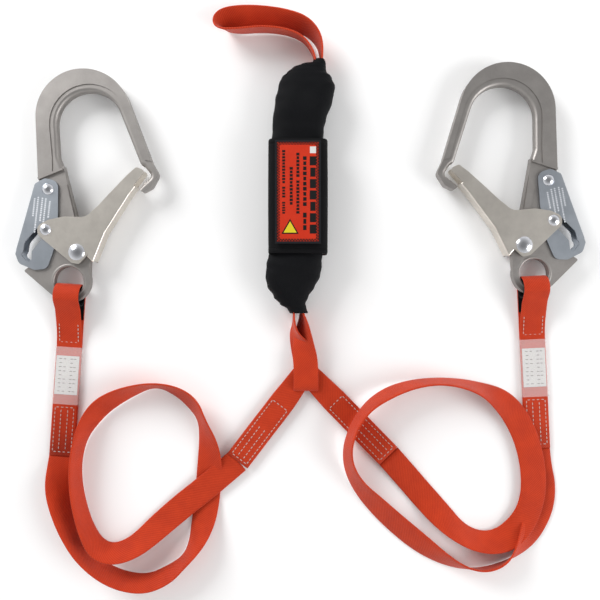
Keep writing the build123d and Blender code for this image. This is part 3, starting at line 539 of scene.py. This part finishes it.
@dataclass
class HookStrap:
    """Doubled webbing sewn through a hook's eye, with its lining, label and clear sleeve."""

    side: str
    eye: tuple[float, float]
    turn: float
    wardrobe: Wardrobe
    lug_drop: float = 14.08
    pivot_height: float = 12.5
    loop_radius: float = 11.0
    merge: float = 50.0
    length: float = 162.0
    low_layer: float = 1.5
    high_layer: float = 3.3
    seam: float = 9.4               # from the strap's middle to the rows along its edges
    slope_end: float = 46.0         # where the upper layer comes down to the lower
    label_face: float = 4.61        # just over the sleeve's face
    label_start: float = 64.0
    row_pitch: float = 4.1
    label_rows: int = 9

    def spot(self, away: float, across: float, height: float) -> Vector:
        """A point from the lug's middle: away from the hook, across the strap, and up; in millimetres."""
        angle = math.radians(self.turn)
        down = Vector((math.sin(angle), -math.cos(angle), 0.0))
        point = Vector((*self.eye, 0.0)) + down * (self.lug_drop + away) + self.wide() * across
        return place(point.x, point.y, height)

    def wide(self) -> Vector:
        """The way the strap's width runs."""
        angle = math.radians(self.turn)
        return Vector((math.cos(angle), math.sin(angle), 0.0))

    def loop_line(self, radius: float, bottom: float, top: float, end: float) -> list[Vector]:
        """The strap's line: up the lower layer, round the lug, and down the upper layer."""
        points = [self.spot(away, 0, bottom) for away in (end, end * 0.75, end * 0.5, end * 0.25, 8.0)]
        for step in range(0, 17):
            angle = math.radians(-90 - step * 13.0)
            points.append(self.spot(radius * math.cos(angle), 0, self.pivot_height + radius * math.sin(angle)))
        rise = self.pivot_height + radius
        for away, share in ((14.0, 0.70), (24.0, 0.42), (34.0, 0.18), (42.0, 0.05), (50.0, 0.0)):
            if away < end:
                points.append(self.spot(away, 0, top + (rise - 4.0 - top) * share))
        if end > 60:
            points += [self.spot(away, 0, top) for away in (60.0, 90.0, 125.0, end)]
        return points

    def build(self) -> None:
        """Makes the strap, its lining, stitches, label marks and sleeve finish."""
        line = self.loop_line(self.loop_radius, self.low_layer, self.high_layer, self.length)
        strap = sweep(f"{self.side}_eye_strap", line_stations(line, self.wide()), WEB_WIDTH, WEB_THICK)
        finish_piece(strap, "root", self.wardrobe.by_slot[Slot.WEBBING], [f"{self.side}_web_eye"])
        self.stitches()
        self.label_marks()
        self.dress_node("wear_pad", Slot.BLACK)
        self.dress_node("id_label", Slot.WHITE)
        self.dress_node("label_sleeve", Slot.CLEAR)

    def dress_node(self, node: str, slot: Slot) -> None:
        """Gives one CAD node of this side its material."""
        dress(f"{self.side}_{node}", self.wardrobe.by_slot[slot])

    def stitches(self) -> None:
        """Sews the two layers together below the eye and at the end."""
        top = self.high_layer + WEB_THICK / MM / 2
        lines = []
        for start, end in ((20.0, 47.0), (113.0, 158.0)):
            for across in (-self.seam, self.seam):
                raised = top if start > self.merge else top + self.pivot_height * (1 - start / self.slope_end)
                lines.append((self.spot(start, across, raised), self.spot(end, across, top)))
            for away in ((end,) if start < self.merge else (start, end)):
                lines.append((self.spot(away, -self.seam, top), self.spot(away, self.seam, top)))
        for across in (-3.4, 3.4):
            lines.append((self.spot(115.0, across, top), self.spot(156.0, across, top)))
        sewing = Stitching(f"{self.side}_strap_stitches")
        finish_piece(sewing.rows(lines[2:] + lines[:2]), "root", self.wardrobe.thread)

    def label_marks(self) -> None:
        """Plain grey bars that stand for the label's table."""
        top = self.label_face
        bars = []
        for number in range(self.label_rows):
            away = self.label_start + number * self.row_pitch
            short = 5.5 if number % 3 == 1 else 9.0
            bars.append((self.spot(away, -9.5, top), self.spot(away, -9.5 + short, top)))
            bars.append((self.spot(away, 2.0, top), self.spot(away, 2.0 + short * 0.8, top)))
        sewing = Stitching(f"{self.side}_label_bars", length=3.0 * MM, gap=0.5 * MM, width=0.7 * MM, rise=0.06 * MM)
        finish_piece(sewing.rows(bars), "root", self.wardrobe.grey_ink)


def dress(node: str, material: bpy.types.Material) -> None:
    """Gives a CAD node its material."""
    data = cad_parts[node].data
    data.materials.clear()
    data.materials.append(material)


# ---------------------------------------------------------------- absorber pack
def skin(name: str, rings: Sequence[Sequence[Vector]]) -> bpy.types.Object:
    """Joins rings of points, each closed round, into one smooth surface that is closed at both ends.

    Args:
        name: the piece's name.
        rings: the rings in order, all with the same number of points.

    Returns:
        The new object, at the origin.
    """
    mesh = bmesh.new()
    made = [[mesh.verts.new(point) for point in ring] for ring in rings]
    count = len(made[0])
    for near, far in zip(made, made[1:]):
        for index in range(count):
            after = (index + 1) % count
            mesh.faces.new((near[index], near[after], far[after], far[index])).smooth = True
    mesh.faces.new(list(reversed(made[0])))
    mesh.faces.new(made[-1])
    bmesh.ops.recalc_face_normals(mesh, faces=mesh.faces)
    return new_piece(name, mesh)


def round_box_ring(y: float, left: float, right: float, low: float, high: float, power: float,
                   count: int = 72) -> list[Vector]:
    """Ring of a superellipse across the pack, at one place along it; in millimetres."""
    middle_x, middle_z = (left + right) / 2, (low + high) / 2
    ring = []
    for index in range(count):
        angle = 2 * math.pi * index / count
        wide, tall = math.cos(angle), math.sin(angle)
        x = middle_x + math.copysign(abs(wide) ** (2 / power), wide) * (right - left) / 2
        z = middle_z + math.copysign(abs(tall) ** (2 / power), tall) * (high - low) / 2
        ring.append(place(x, y, z))
    return ring


def blend_rows(rows: Sequence[tuple[float, ...]], count: int) -> list[tuple[float, ...]]:
    """Smoothly fills in between rows of numbers."""
    filled = []
    for index in range(count + 1):
        spot = index / count * (len(rows) - 1)
        base = min(int(spot), len(rows) - 2)
        share = spot - base
        ease = share * share * (3 - 2 * share)
        near, far = rows[base], rows[base + 1]
        filled.append(tuple([near[0] + (far[0] - near[0]) * share]
                            + [a + (b - a) * ease for a, b in zip(near[1:], far[1:])]))
    return filled


@dataclass
class AbsorberPack:
    """Soft cover and wrap of the absorber, with its plies, fastener strips and leaves dressed."""

    wardrobe: Wardrobe
    upper: Sequence[tuple[float, ...]] = (
        (235.5, 12.6, 25.4, 1.6, 28.0), (233.5, 12.0, 26.0, 1.4, 28.4), (231.8, 11.0, 26.5, 1.2, 28.8),
        (230.5, -1.0, 26.8, 1.0, 29.6), (227.5, -9.5, 27.2, 0.8, 30.6), (223.5, -14.5, 28.0, 0.6, 31.6),
        (219.0, -18.0, 32.8, 0.5, 32.4), (210.0, -22.0, 34.6, 0.4, 33.6), (196.0, -25.5, 32.6, 0.4, 34.0),
        (180.0, -27.5, 27.5, 0.4, 34.0), (168.0, -28.3, 25.0, 1.0, 33.5), (159.0, -28.4, 24.0, 1.6, 33.0),
        (150.0, -28.0, 23.5, 2.0, 32.5))
    lower: Sequence[tuple[float, ...]] = (
        (50.0, -29.0, 22.0, 2.0, 32.5), (44.0, -32.0, 23.0, 1.2, 33.0), (34.0, -34.4, 22.0, 0.6, 33.5),
        (24.0, -35.2, 19.8, 0.4, 33.5), (13.0, -33.0, 15.5, 0.4, 33.0), (3.0, -27.5, 9.5, 0.4, 32.0),
        (-4.0, -20.5, 6.5, 0.6, 30.5), (-9.0, -12.5, 7.0, 0.8, 29.0), (-13.0, -10.5, 8.0, 1.0, 28.5))
    wrap_box: tuple[float, ...] = (-31.0, 27.0, 45.0, 156.0, 0.0, 35.0)

    def build(self) -> None:
        """Makes every piece of the pack."""
        for name, rows, count, seed in (("cover_upper_cloth", self.upper, 56, 1.0),
                                        ("cover_lower_cloth", self.lower, 44, 2.0)):
            cover = self.cloth(name, rows, count, seed)
            finish_piece(cover, "root", self.wardrobe.by_slot[Slot.COVER], ["absorber_cover"])
        self.wrap()
        for node, slot in (("absorber_upper_ply", Slot.TEAR), ("absorber_lower_ply", Slot.TEAR),
                           ("fastener_hook_strip", Slot.TAPE), ("fastener_loop_strip", Slot.TAPE),
                           ("instruction_leaf_1", Slot.LEAF), ("instruction_leaf_2", Slot.LEAF),
                           ("instruction_leaf_3", Slot.LEAF)):
            dress(node, self.wardrobe.by_slot[slot])

    def cloth(self, name: str, rows: Sequence[tuple[float, ...]], count: int, seed: float) -> bpy.types.Object:
        """A soft sleeve through sections, with gathers and slack folds."""
        rings = [round_box_ring(*row, power=2.9) for row in blend_rows(rows, count)]
        for ring in rings:
            middle = sum(ring, Vector()) / len(ring)
            for point in ring:
                away = (point - middle).normalized()
                stretch = Vector((point.x * 34, point.y * 55 + point.x * 14, point.z * 40 + seed * 7))
                fold = noise.noise(stretch) * 1.5 + noise.noise(stretch * 2.7) * 0.7
                point += away * (fold - 0.9) * MM
                point.z = max(point.z, 0.25 * MM)
        return skin(name, rings)

    def wrap(self) -> None:
        """The stiffer wrap round the middle, with turned hems."""
        left, right, low_y, high_y, low, high = self.wrap_box
        rows = [(low_y + 1.2, 1.8), (low_y + 0.2, 1.2), (low_y, 0.5), (low_y + 1.2, 0.0), (low_y + 4.5, 0.0),
                (low_y + 5.0, 0.35), (low_y + 5.6, 0.0)]
        mirrored = [(high_y - (y - low_y), inset) for y, inset in reversed(rows)]
        middle = [(low_y + 6 + (high_y - low_y - 12) * step / 12, -0.25 * math.sin(step / 12 * math.pi))
                  for step in range(13)]
        rings = []
        for y, inset in rows + middle + mirrored:
            ring = round_box_ring(y, left + inset, right - inset, low + inset, high - inset, power=5.5)
            rings.append([Vector((p.x, p.y, max(0.0, p.z))) for p in ring])
        piece = skin("label_wrap_cloth", rings)
        finish_piece(piece, "root", self.wardrobe.by_slot[Slot.BLACK], ["label_wrap"])


def soft_slab(name: str, low: Vector, high: Vector, edge: float, wave: float) -> bpy.types.Object:
    """A thin pad with rounded edges and a slightly uneven face.

    Args:
        name: the piece's name.
        low: lowest corner.
        high: highest corner.
        edge: width of the rounded edge in metres.
        wave: how far the face wanders in metres.

    Returns:
        The new object, at the origin.
    """
    bpy.ops.object.select_all(action="DESELECT")
    bpy.ops.mesh.primitive_cube_add(size=1.0, location=(low + high) / 2, scale=high - low)
    piece = bpy.context.object
    piece.name = name
    bpy.ops.object.transform_apply(location=True, rotation=False, scale=True)
    bevel = piece.modifiers.new("Edge", "BEVEL")
    bevel.width = edge
    bevel.segments = 3
    bpy.ops.object.modifier_apply(modifier=bevel.name)
    bpy.ops.object.mode_set(mode="EDIT")
    bpy.ops.mesh.select_all(action="SELECT")
    bpy.ops.mesh.quads_convert_to_tris()
    bpy.ops.mesh.subdivide(number_cuts=3)
    bpy.ops.object.mode_set(mode="OBJECT")
    for vertex in piece.data.vertices:
        if vertex.co.z > (low.z + high.z) / 2:
            vertex.co.z -= wave * (0.5 + noise.noise(vertex.co * 60.0) * 0.5)
    bpy.ops.object.shade_smooth_by_angle(angle=math.radians(40))
    return piece


def block_rows(name: str, blocks: Iterable[tuple[Vector, tuple[float, float, float]]],
               turn: Matrix) -> bpy.types.Object:
    """One piece of many small blocks.

    Args:
        name: the piece's name.
        blocks: the middle and the size of each block.
        turn: how every block is turned about its middle.

    Returns:
        The new object.
    """
    mesh = bmesh.new()
    for centre, size in blocks:
        bmesh.ops.create_cube(mesh, size=1.0, matrix=Matrix.Translation(centre) @ turn @ Matrix.Diagonal((*size, 1.0)))
    return new_piece(name, mesh)


@dataclass
class LabelFlap:
    """Flap with its red label, black sewn border and generic print."""

    wardrobe: Wardrobe
    body: str = "label_flap"
    # rows of blocks: place across, half width, start, end, how many, and the gap between them
    columns: Sequence[tuple[float, float, float, float, int, float]] = (
        (0.86, 3.1, 0.09, 0.98, 7, 0.026), (0.665, 1.7, 0.09, 0.66, 10, 0.016), (0.665, 1.7, 0.72, 0.93, 3, 0.016),
        (0.50, 1.5, 0.05, 0.33, 7, 0.010), (0.50, 1.5, 0.36, 0.74, 10, 0.010), (0.34, 1.5, 0.21, 0.64, 11, 0.010),
        (0.16, 1.5, 0.02, 0.40, 11, 0.010), (0.16, 1.5, 0.43, 0.56, 4, 0.010), (0.16, 1.5, 0.60, 0.74, 5, 0.010))
    heights: Sequence[float] = (1.0, 0.82, 0.94)
    square: Sequence[float] = (0.86, 2.9, -0.02, 0.055)

    def build(self) -> None:
        """Makes the flap, label, border and print."""
        for node, slot, name, edge in (("label_flap", Slot.BLACK, "flap_cloth", 0.5),
                                       ("label_print", Slot.RED, "label_cloth", 0.15)):
            low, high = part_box(node)
            piece = soft_slab(name, low, high, edge * MM, 0.06 * MM)
            finish_piece(piece, self.body, self.wardrobe.by_slot[slot], [node])
        dress("label_binding", self.wardrobe.by_slot[Slot.BINDING])
        self.border()
        self.print_marks()

    def border(self) -> None:
        """Two rows of short black stitches round the label."""
        low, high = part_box("label_print")
        top = high.z + 0.02 * MM
        lines = []
        for inset in (0.8 * MM, 2.0 * MM):
            corners = [Vector((low.x + inset, low.y + inset, top)), Vector((high.x - inset, low.y + inset, top)),
                       Vector((high.x - inset, high.y - inset, top)), Vector((low.x + inset, high.y - inset, top))]
            lines += list(zip(corners, corners[1:] + corners[:1]))
        sewing = Stitching("label_border_stitches", length=2.2 * MM, gap=0.5 * MM, width=1.0 * MM, rise=0.3 * MM)
        finish_piece(sewing.rows(lines), self.body, self.wardrobe.ink)

    def print_marks(self) -> None:
        """Plain bars in columns and a plain warning triangle, in place of any words."""
        low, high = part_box("label_print")
        top = high.z
        span, reach = high.y - low.y, high.x - low.x

        def block(across: float, half: float, start: float, end: float) -> tuple[Vector, tuple[float, float, float]]:
            """One block: where it is over the label, its half width, and its start and end down the label."""
            middle = Vector((low.x + reach * across, high.y - 6 * MM - span * 0.45 * (start + end), top))
            return middle, (2 * half * MM, span * 0.9 * (end - start), 0.12 * MM)

        words = []
        for across, half, first, last, count, gap in self.columns:
            step = (last - first) / count
            for number in range(count):
                start = first + step * number
                words.append(block(across, half * self.heights[number % 3], start, start + step - gap))
        upright = Matrix.Identity(4)
        finish_piece(block_rows("label_bars", words, upright), self.body, self.wardrobe.ink)
        finish_piece(block_rows("label_square", [block(*self.square)], upright), self.body,
                     self.wardrobe.by_slot[Slot.WHITE])
        centre = Vector((low.x + 12.5 * MM, low.y + 12 * MM, top))
        for name, size, lift, material in (("triangle_edge", 9.5, 0.10, self.wardrobe.ink),
                                           ("triangle_face", 7.2, 0.16, self.wardrobe.yellow)):
            finish_piece(self.triangle(name, centre, size * MM, lift * MM), self.body, material)

    @staticmethod
    def triangle(name: str, centre: Vector, size: float, lift: float) -> bpy.types.Object:
        """A flat raised triangle with blunt corners."""
        bpy.ops.object.select_all(action="DESELECT")
        bpy.ops.mesh.primitive_cylinder_add(vertices=3, radius=size, depth=lift * 2, location=centre)
        piece = bpy.context.object
        piece.name = name
        bpy.ops.object.transform_apply(location=True, rotation=True, scale=True)
        bevel = piece.modifiers.new("Corner", "BEVEL")
        bevel.width = 0.03 * MM
        bpy.ops.object.modifier_apply(modifier=bevel.name)
        return piece


# ---------------------------------------------------------------- pack webbing
@dataclass
class PackWebbing:
    """Harness loop, leg loop and the yoke of the two legs."""

    wardrobe: Wardrobe
    edge_low: float = 1.5

    def build(self) -> None:
        """Makes the three pieces of webbing and their sewing."""
        self.harness_loop()
        self.leg_loop()
        self.yoke()

    def harness_loop(self) -> None:
        """Loop for the harness ring: webbing on its edge, leaning a little towards its tip."""
        points = [(19.4, 206.0, 0), (20.2, 222.0, 0), (21.4, 236.0, 2), (21.0, 252.0, 6), (15.0, 264.5, 14),
                  (3.0, 274.5, 23), (-16.0, 279.5, 32), (-38.0, 282.0, 46), (-60.0, 283.0, 60), (-75.0, 280.0, 52),
                  (-80.0, 273.5, 32), (-75.0, 268.5, 16), (-60.0, 267.5, 10), (-38.0, 269.5, 8),
                  (-16.0, 267.5, 8), (1.0, 261.5, 8), (11.0, 250.5, 6), (15.4, 238.0, 2), (16.2, 224.0, 0),
                  (15.8, 206.0, 0)]
        middles = spline_points([tuple(place(x, y, 0.0)) for x, y, _ in points])
        leans = spline_points([(math.radians(lean), 0.0, 0.0) for _, _, lean in points])
        stations = []
        for index, (middle, lean) in enumerate(zip(middles, leans)):
            heading = tangent_at(middles, index)
            level = Vector((-heading.y, heading.x, 0.0)).normalized()
            wide = Vector((0, 0, 1)) * math.cos(lean.x) - level * math.sin(lean.x)
            raised = WEB_WIDTH / 2 * math.cos(lean.x) + self.edge_low * MM * math.cos(lean.x)
            stations.append(Station(Vector((middle.x, middle.y, raised)), wide, wide.cross(heading).normalized()))
        piece = sweep("harness_loop_cloth", stations, WEB_WIDTH * 0.99, WEB_THICK)
        finish_piece(piece, "root", self.wardrobe.by_slot[Slot.WEBBING], ["harness_loop"])

    def leg_loop(self) -> None:
        """Strand from the pack that turns flat, rolls round the yoke, and comes back underneath."""
        route = [(-1.5, 24.0, 14.2, 90), (-1.0, 6.0, 14.2, 90), (1.2, -9.0, 14.2, 90), (3.0, -22.0, 14.0, 68),
                 (3.0, -34.0, 13.4, 48), (3.4, -45.0, 12.6, 30), (4.6, -55.0, 12.0, 14), (5.6, -63.0, 11.6, 4),
                 (6.0, -72.0, 11.4, 0), (6.0, -84.0, 11.0, 0), (6.0, -89.5, 9.0, 0), (6.0, -91.0, 6.0, 0),
                 (6.0, -89.0, 3.0, 0), (6.0, -83.0, 1.4, 0), (6.0, -70.0, 1.4, 0), (5.0, -58.0, 2.2, 6),
                 (1.5, -47.0, 5.0, 24), (-3.0, -37.0, 9.5, 58), (-5.8, -27.0, 13.2, 84), (-6.2, -12.0, 14.2, 90),
                 (-6.2, 6.0, 14.2, 90), (-6.2, 22.0, 14.2, 90)]
        middles = spline_points([tuple(place(x, y, z)) for x, y, z, _ in route])
        rolls = spline_points([(math.radians(roll), 0.0, 0.0) for _, _, _, roll in route])
        stations = []
        for index, (middle, roll) in enumerate(zip(middles, rolls)):
            heading = tangent_at(middles, index)
            wide = Vector((math.cos(roll.x), 0, 0)) + Vector((0, 0, 1)) * math.sin(roll.x)
            wide = (wide - heading * wide.dot(heading)).normalized()
            stations.append(Station(middle, wide, wide.cross(heading).normalized()))
        piece = sweep("leg_loop_cloth", stations, WEB_WIDTH * 0.97, WEB_THICK)
        finish_piece(piece, "root", self.wardrobe.by_slot[Slot.WEBBING], ["absorber_leg_loop"])

    def yoke(self) -> None:
        """Two doubled arms that cross in the leg loop, each a folded strap with box sewing."""
        arms = {
            "left_arm": [(9.0, -66.0), (3.0, -74.0), (-8.0, -90.0), (-25.0, -112.5), (-44.0, -137.0), (-62.9, -161.9)],
            "right_arm": [(1.0, -66.0), (8.0, -73.5), (22.0, -88.5), (44.0, -111.0), (66.0, -133.5), (88.9, -156.9)],
        }
        for number, (name, points) in enumerate(arms.items()):
            for layer, height in enumerate((3.5, 5.5)):
                raised = height
                middles = spline_points([tuple(place(x, y, raised)) for x, y in points])
                stations = []
                for index, middle in enumerate(middles):
                    heading = tangent_at(middles, index)
                    level = Vector((-heading.y, heading.x, 0.0))
                    pinch = 0.78 + 0.22 * min(1.0, index / 20.0)
                    stations.append(Station(middle, level * pinch, Vector((0, 0, 1))))
                piece = sweep(f"yoke_{name}_{layer + 1}", stations, WEB_WIDTH, WEB_THICK)
                finish_piece(piece, "root", self.wardrobe.by_slot[Slot.WEBBING], ["yoke_webbing"])
            self.arm_sewing(name, Vector((*points[2], 0)), Vector((*points[-1], 0)))

    def arm_sewing(self, name: str, start: Vector, end: Vector) -> None:
        """Box of dashed sewing along one arm."""
        way = (end - start).normalized()
        side = Vector((-way.y, way.x, 0.0))
        top = 6.45
        corners = []
        for away, across in ((20.0, -9.2), (20.0, 9.2), (-3.0, 9.2), (-3.0, -9.2)):
            origin = start if away > 0 else end
            point = origin + way * away + side * across
            corners.append(place(point.x, point.y, top))
        lines = list(zip(corners, corners[1:] + corners[:1]))
        for across in (-3.2, 3.2):
            a = end - way * 42.0 + side * across
            b = end - way * 5.0 + side * across
            lines.append((place(a.x, a.y, top), place(b.x, b.y, top)))
        sewing = Stitching(f"yoke_{name}_stitches")
        finish_piece(sewing.rows(lines), "root", self.wardrobe.thread)


# ---------------------------------------------------------------- hooks
@dataclass
class Hook:
    """One hook: its CAD pieces dressed in their metals."""

    side: str
    eye: tuple[float, float]
    lean: float
    wardrobe: Wardrobe
    face_level: float = 19.1        # the lever's upper face
    # columns of dashes: place across, start and end
    columns: Sequence[tuple[float, float, float]] = (
        (-41.5, 60.0, 78.0), (-38.2, 44.0, 79.0), (-34.0, 56.0, 79.0), (-30.6, 52.0, 79.0), (-26.4, 60.0, 77.0))
    metals: dict[str, Slot] = field(default_factory=lambda: {
        "hook_body": Slot.FORGED, "gate": Slot.PLATED, "lever": Slot.LEVER, "gate_rivet": Slot.RIVET,
        "lever_rivet": Slot.RIVET, "gate_pin": Slot.RIVET, "gate_spring": Slot.SPRING})

    def build(self) -> None:
        """Dresses each metal piece."""
        for node, slot in self.metals.items():
            dress(f"{self.side}_{node}", self.wardrobe.by_slot[slot])
            LOG.info("%s_%s dressed", self.side, node)
        self.lever_marks()

    def lever_marks(self) -> None:
        """Faint rows of plain stamped dashes on the lever's upper face."""
        turn = Matrix.Rotation(math.radians(self.lean), 4, "Z")
        flip = -1.0 if self.side == "right" else 1.0
        blocks = []
        for column, (across, first, last) in enumerate(self.columns):
            away = first
            while away < last:
                length = 1.3 + 0.9 * (0.5 + 0.5 * math.sin(away * 3.1 + column))
                spot = turn @ Vector((flip * across, away + length / 2, 0.0))
                centre = place(self.eye[0] + spot.x, self.eye[1] + spot.y, self.face_level)
                blocks.append((centre, (1.5 * MM, length * MM, 0.06 * MM)))
                away += length + 0.7
        marks = block_rows(f"{self.side}_lever_marks", blocks, turn)
        finish_piece(marks, f"{self.side}_lever", self.wardrobe.stamp)


# ---------------------------------------------------------------- studio
@dataclass
class Studio:
    """Floor, soft lights and the camera straight above."""

    height: float = 0.66
    half_view: float = 0.300
    view_level: float = 0.010

    def build(self) -> None:
        """Makes the stage."""
        self.floor()
        self.lights()
        self.camera()

    @staticmethod
    def floor() -> None:
        """A wide plain pale floor."""
        bpy.ops.object.select_all(action="DESELECT")
        bpy.ops.mesh.primitive_plane_add(size=FLOOR_SIZE, location=(0, 0, FLOOR_LEVEL))
        floor = bpy.context.object
        floor.name = "studio_floor"
        material = bpy.data.materials.new("Studio white")
        material.use_nodes = True
        shader = material.node_tree.nodes["Principled BSDF"]
        shader.inputs["Base Color"].default_value = FLOOR_SHADE
        shader.inputs["Roughness"].default_value = 0.9
        floor.data.materials.append(material)

    @staticmethod
    def lights() -> None:
        """Large soft lamps on both sides and a sky that is darker overhead."""
        world = bpy.data.worlds.new("Studio sky")
        bpy.context.scene.world = world
        world.use_nodes = True
        world.node_tree.nodes["Background"].inputs["Color"].default_value = (1.0, 1.0, 1.0, 1.0)
        tree = world.node_tree
        way = add_node(tree, "ShaderNodeTexCoord")
        parts = add_node(tree, "ShaderNodeSeparateXYZ", {"Vector": way.outputs["Generated"]})
        level = add_node(tree, "ShaderNodeMapRange", {"Value": parts.outputs["Z"], "From Min": 0.15, "From Max": 0.95,
                                                      "To Min": SKY_LOW, "To Max": SKY_HIGH})
        tree.links.new(level.outputs["Result"], tree.nodes["Background"].inputs["Strength"])
        bpy.context.scene.view_settings.view_transform = "Standard"
        for name, spot, size, power in LAMPS:
            data = bpy.data.lights.new(name, "AREA")
            data.size = size
            data.energy = power
            lamp = bpy.data.objects.new(name, data)
            lamp.location = spot
            lamp.rotation_euler = (-Vector(spot)).to_track_quat("-Z", "Y").to_euler()
            bpy.context.scene.collection.objects.link(lamp)

    def camera(self) -> None:
        """Camera looking straight down at the layout's middle."""
        data = bpy.data.cameras.new("camera")
        data.sensor_fit = "HORIZONTAL"
        data.angle = 2 * math.atan(self.half_view / (self.height - self.view_level))
        holder = bpy.data.objects.new("camera", data)
        holder.location = Vector((0, 0, self.height)) - LAYOUT_MIDDLE
        bpy.context.scene.collection.objects.link(holder)
        bpy.context.scene.camera = holder


def main() -> None:
    """Builds the studio, the two legs and then every other piece."""
    Studio().build()
    wardrobe = Wardrobe()
    Leg("left", LEFT_ROUTE, 0.80, wardrobe).build()
    Leg("right", RIGHT_ROUTE, 0.84, wardrobe).build()
    HookStrap("left", LEFT_EYE, LEFT_STRAP_TURN, wardrobe).build()
    HookStrap("right", RIGHT_EYE, RIGHT_STRAP_TURN, wardrobe).build()
    PackWebbing(wardrobe).build()
    AbsorberPack(wardrobe).build()
    LabelFlap(wardrobe).build()
    Hook("left", LEFT_EYE, LEFT_LEAN, wardrobe).build()
    Hook("right", RIGHT_EYE, RIGHT_LEAN, wardrobe).build()


if __name__ == "__main__":
    main()
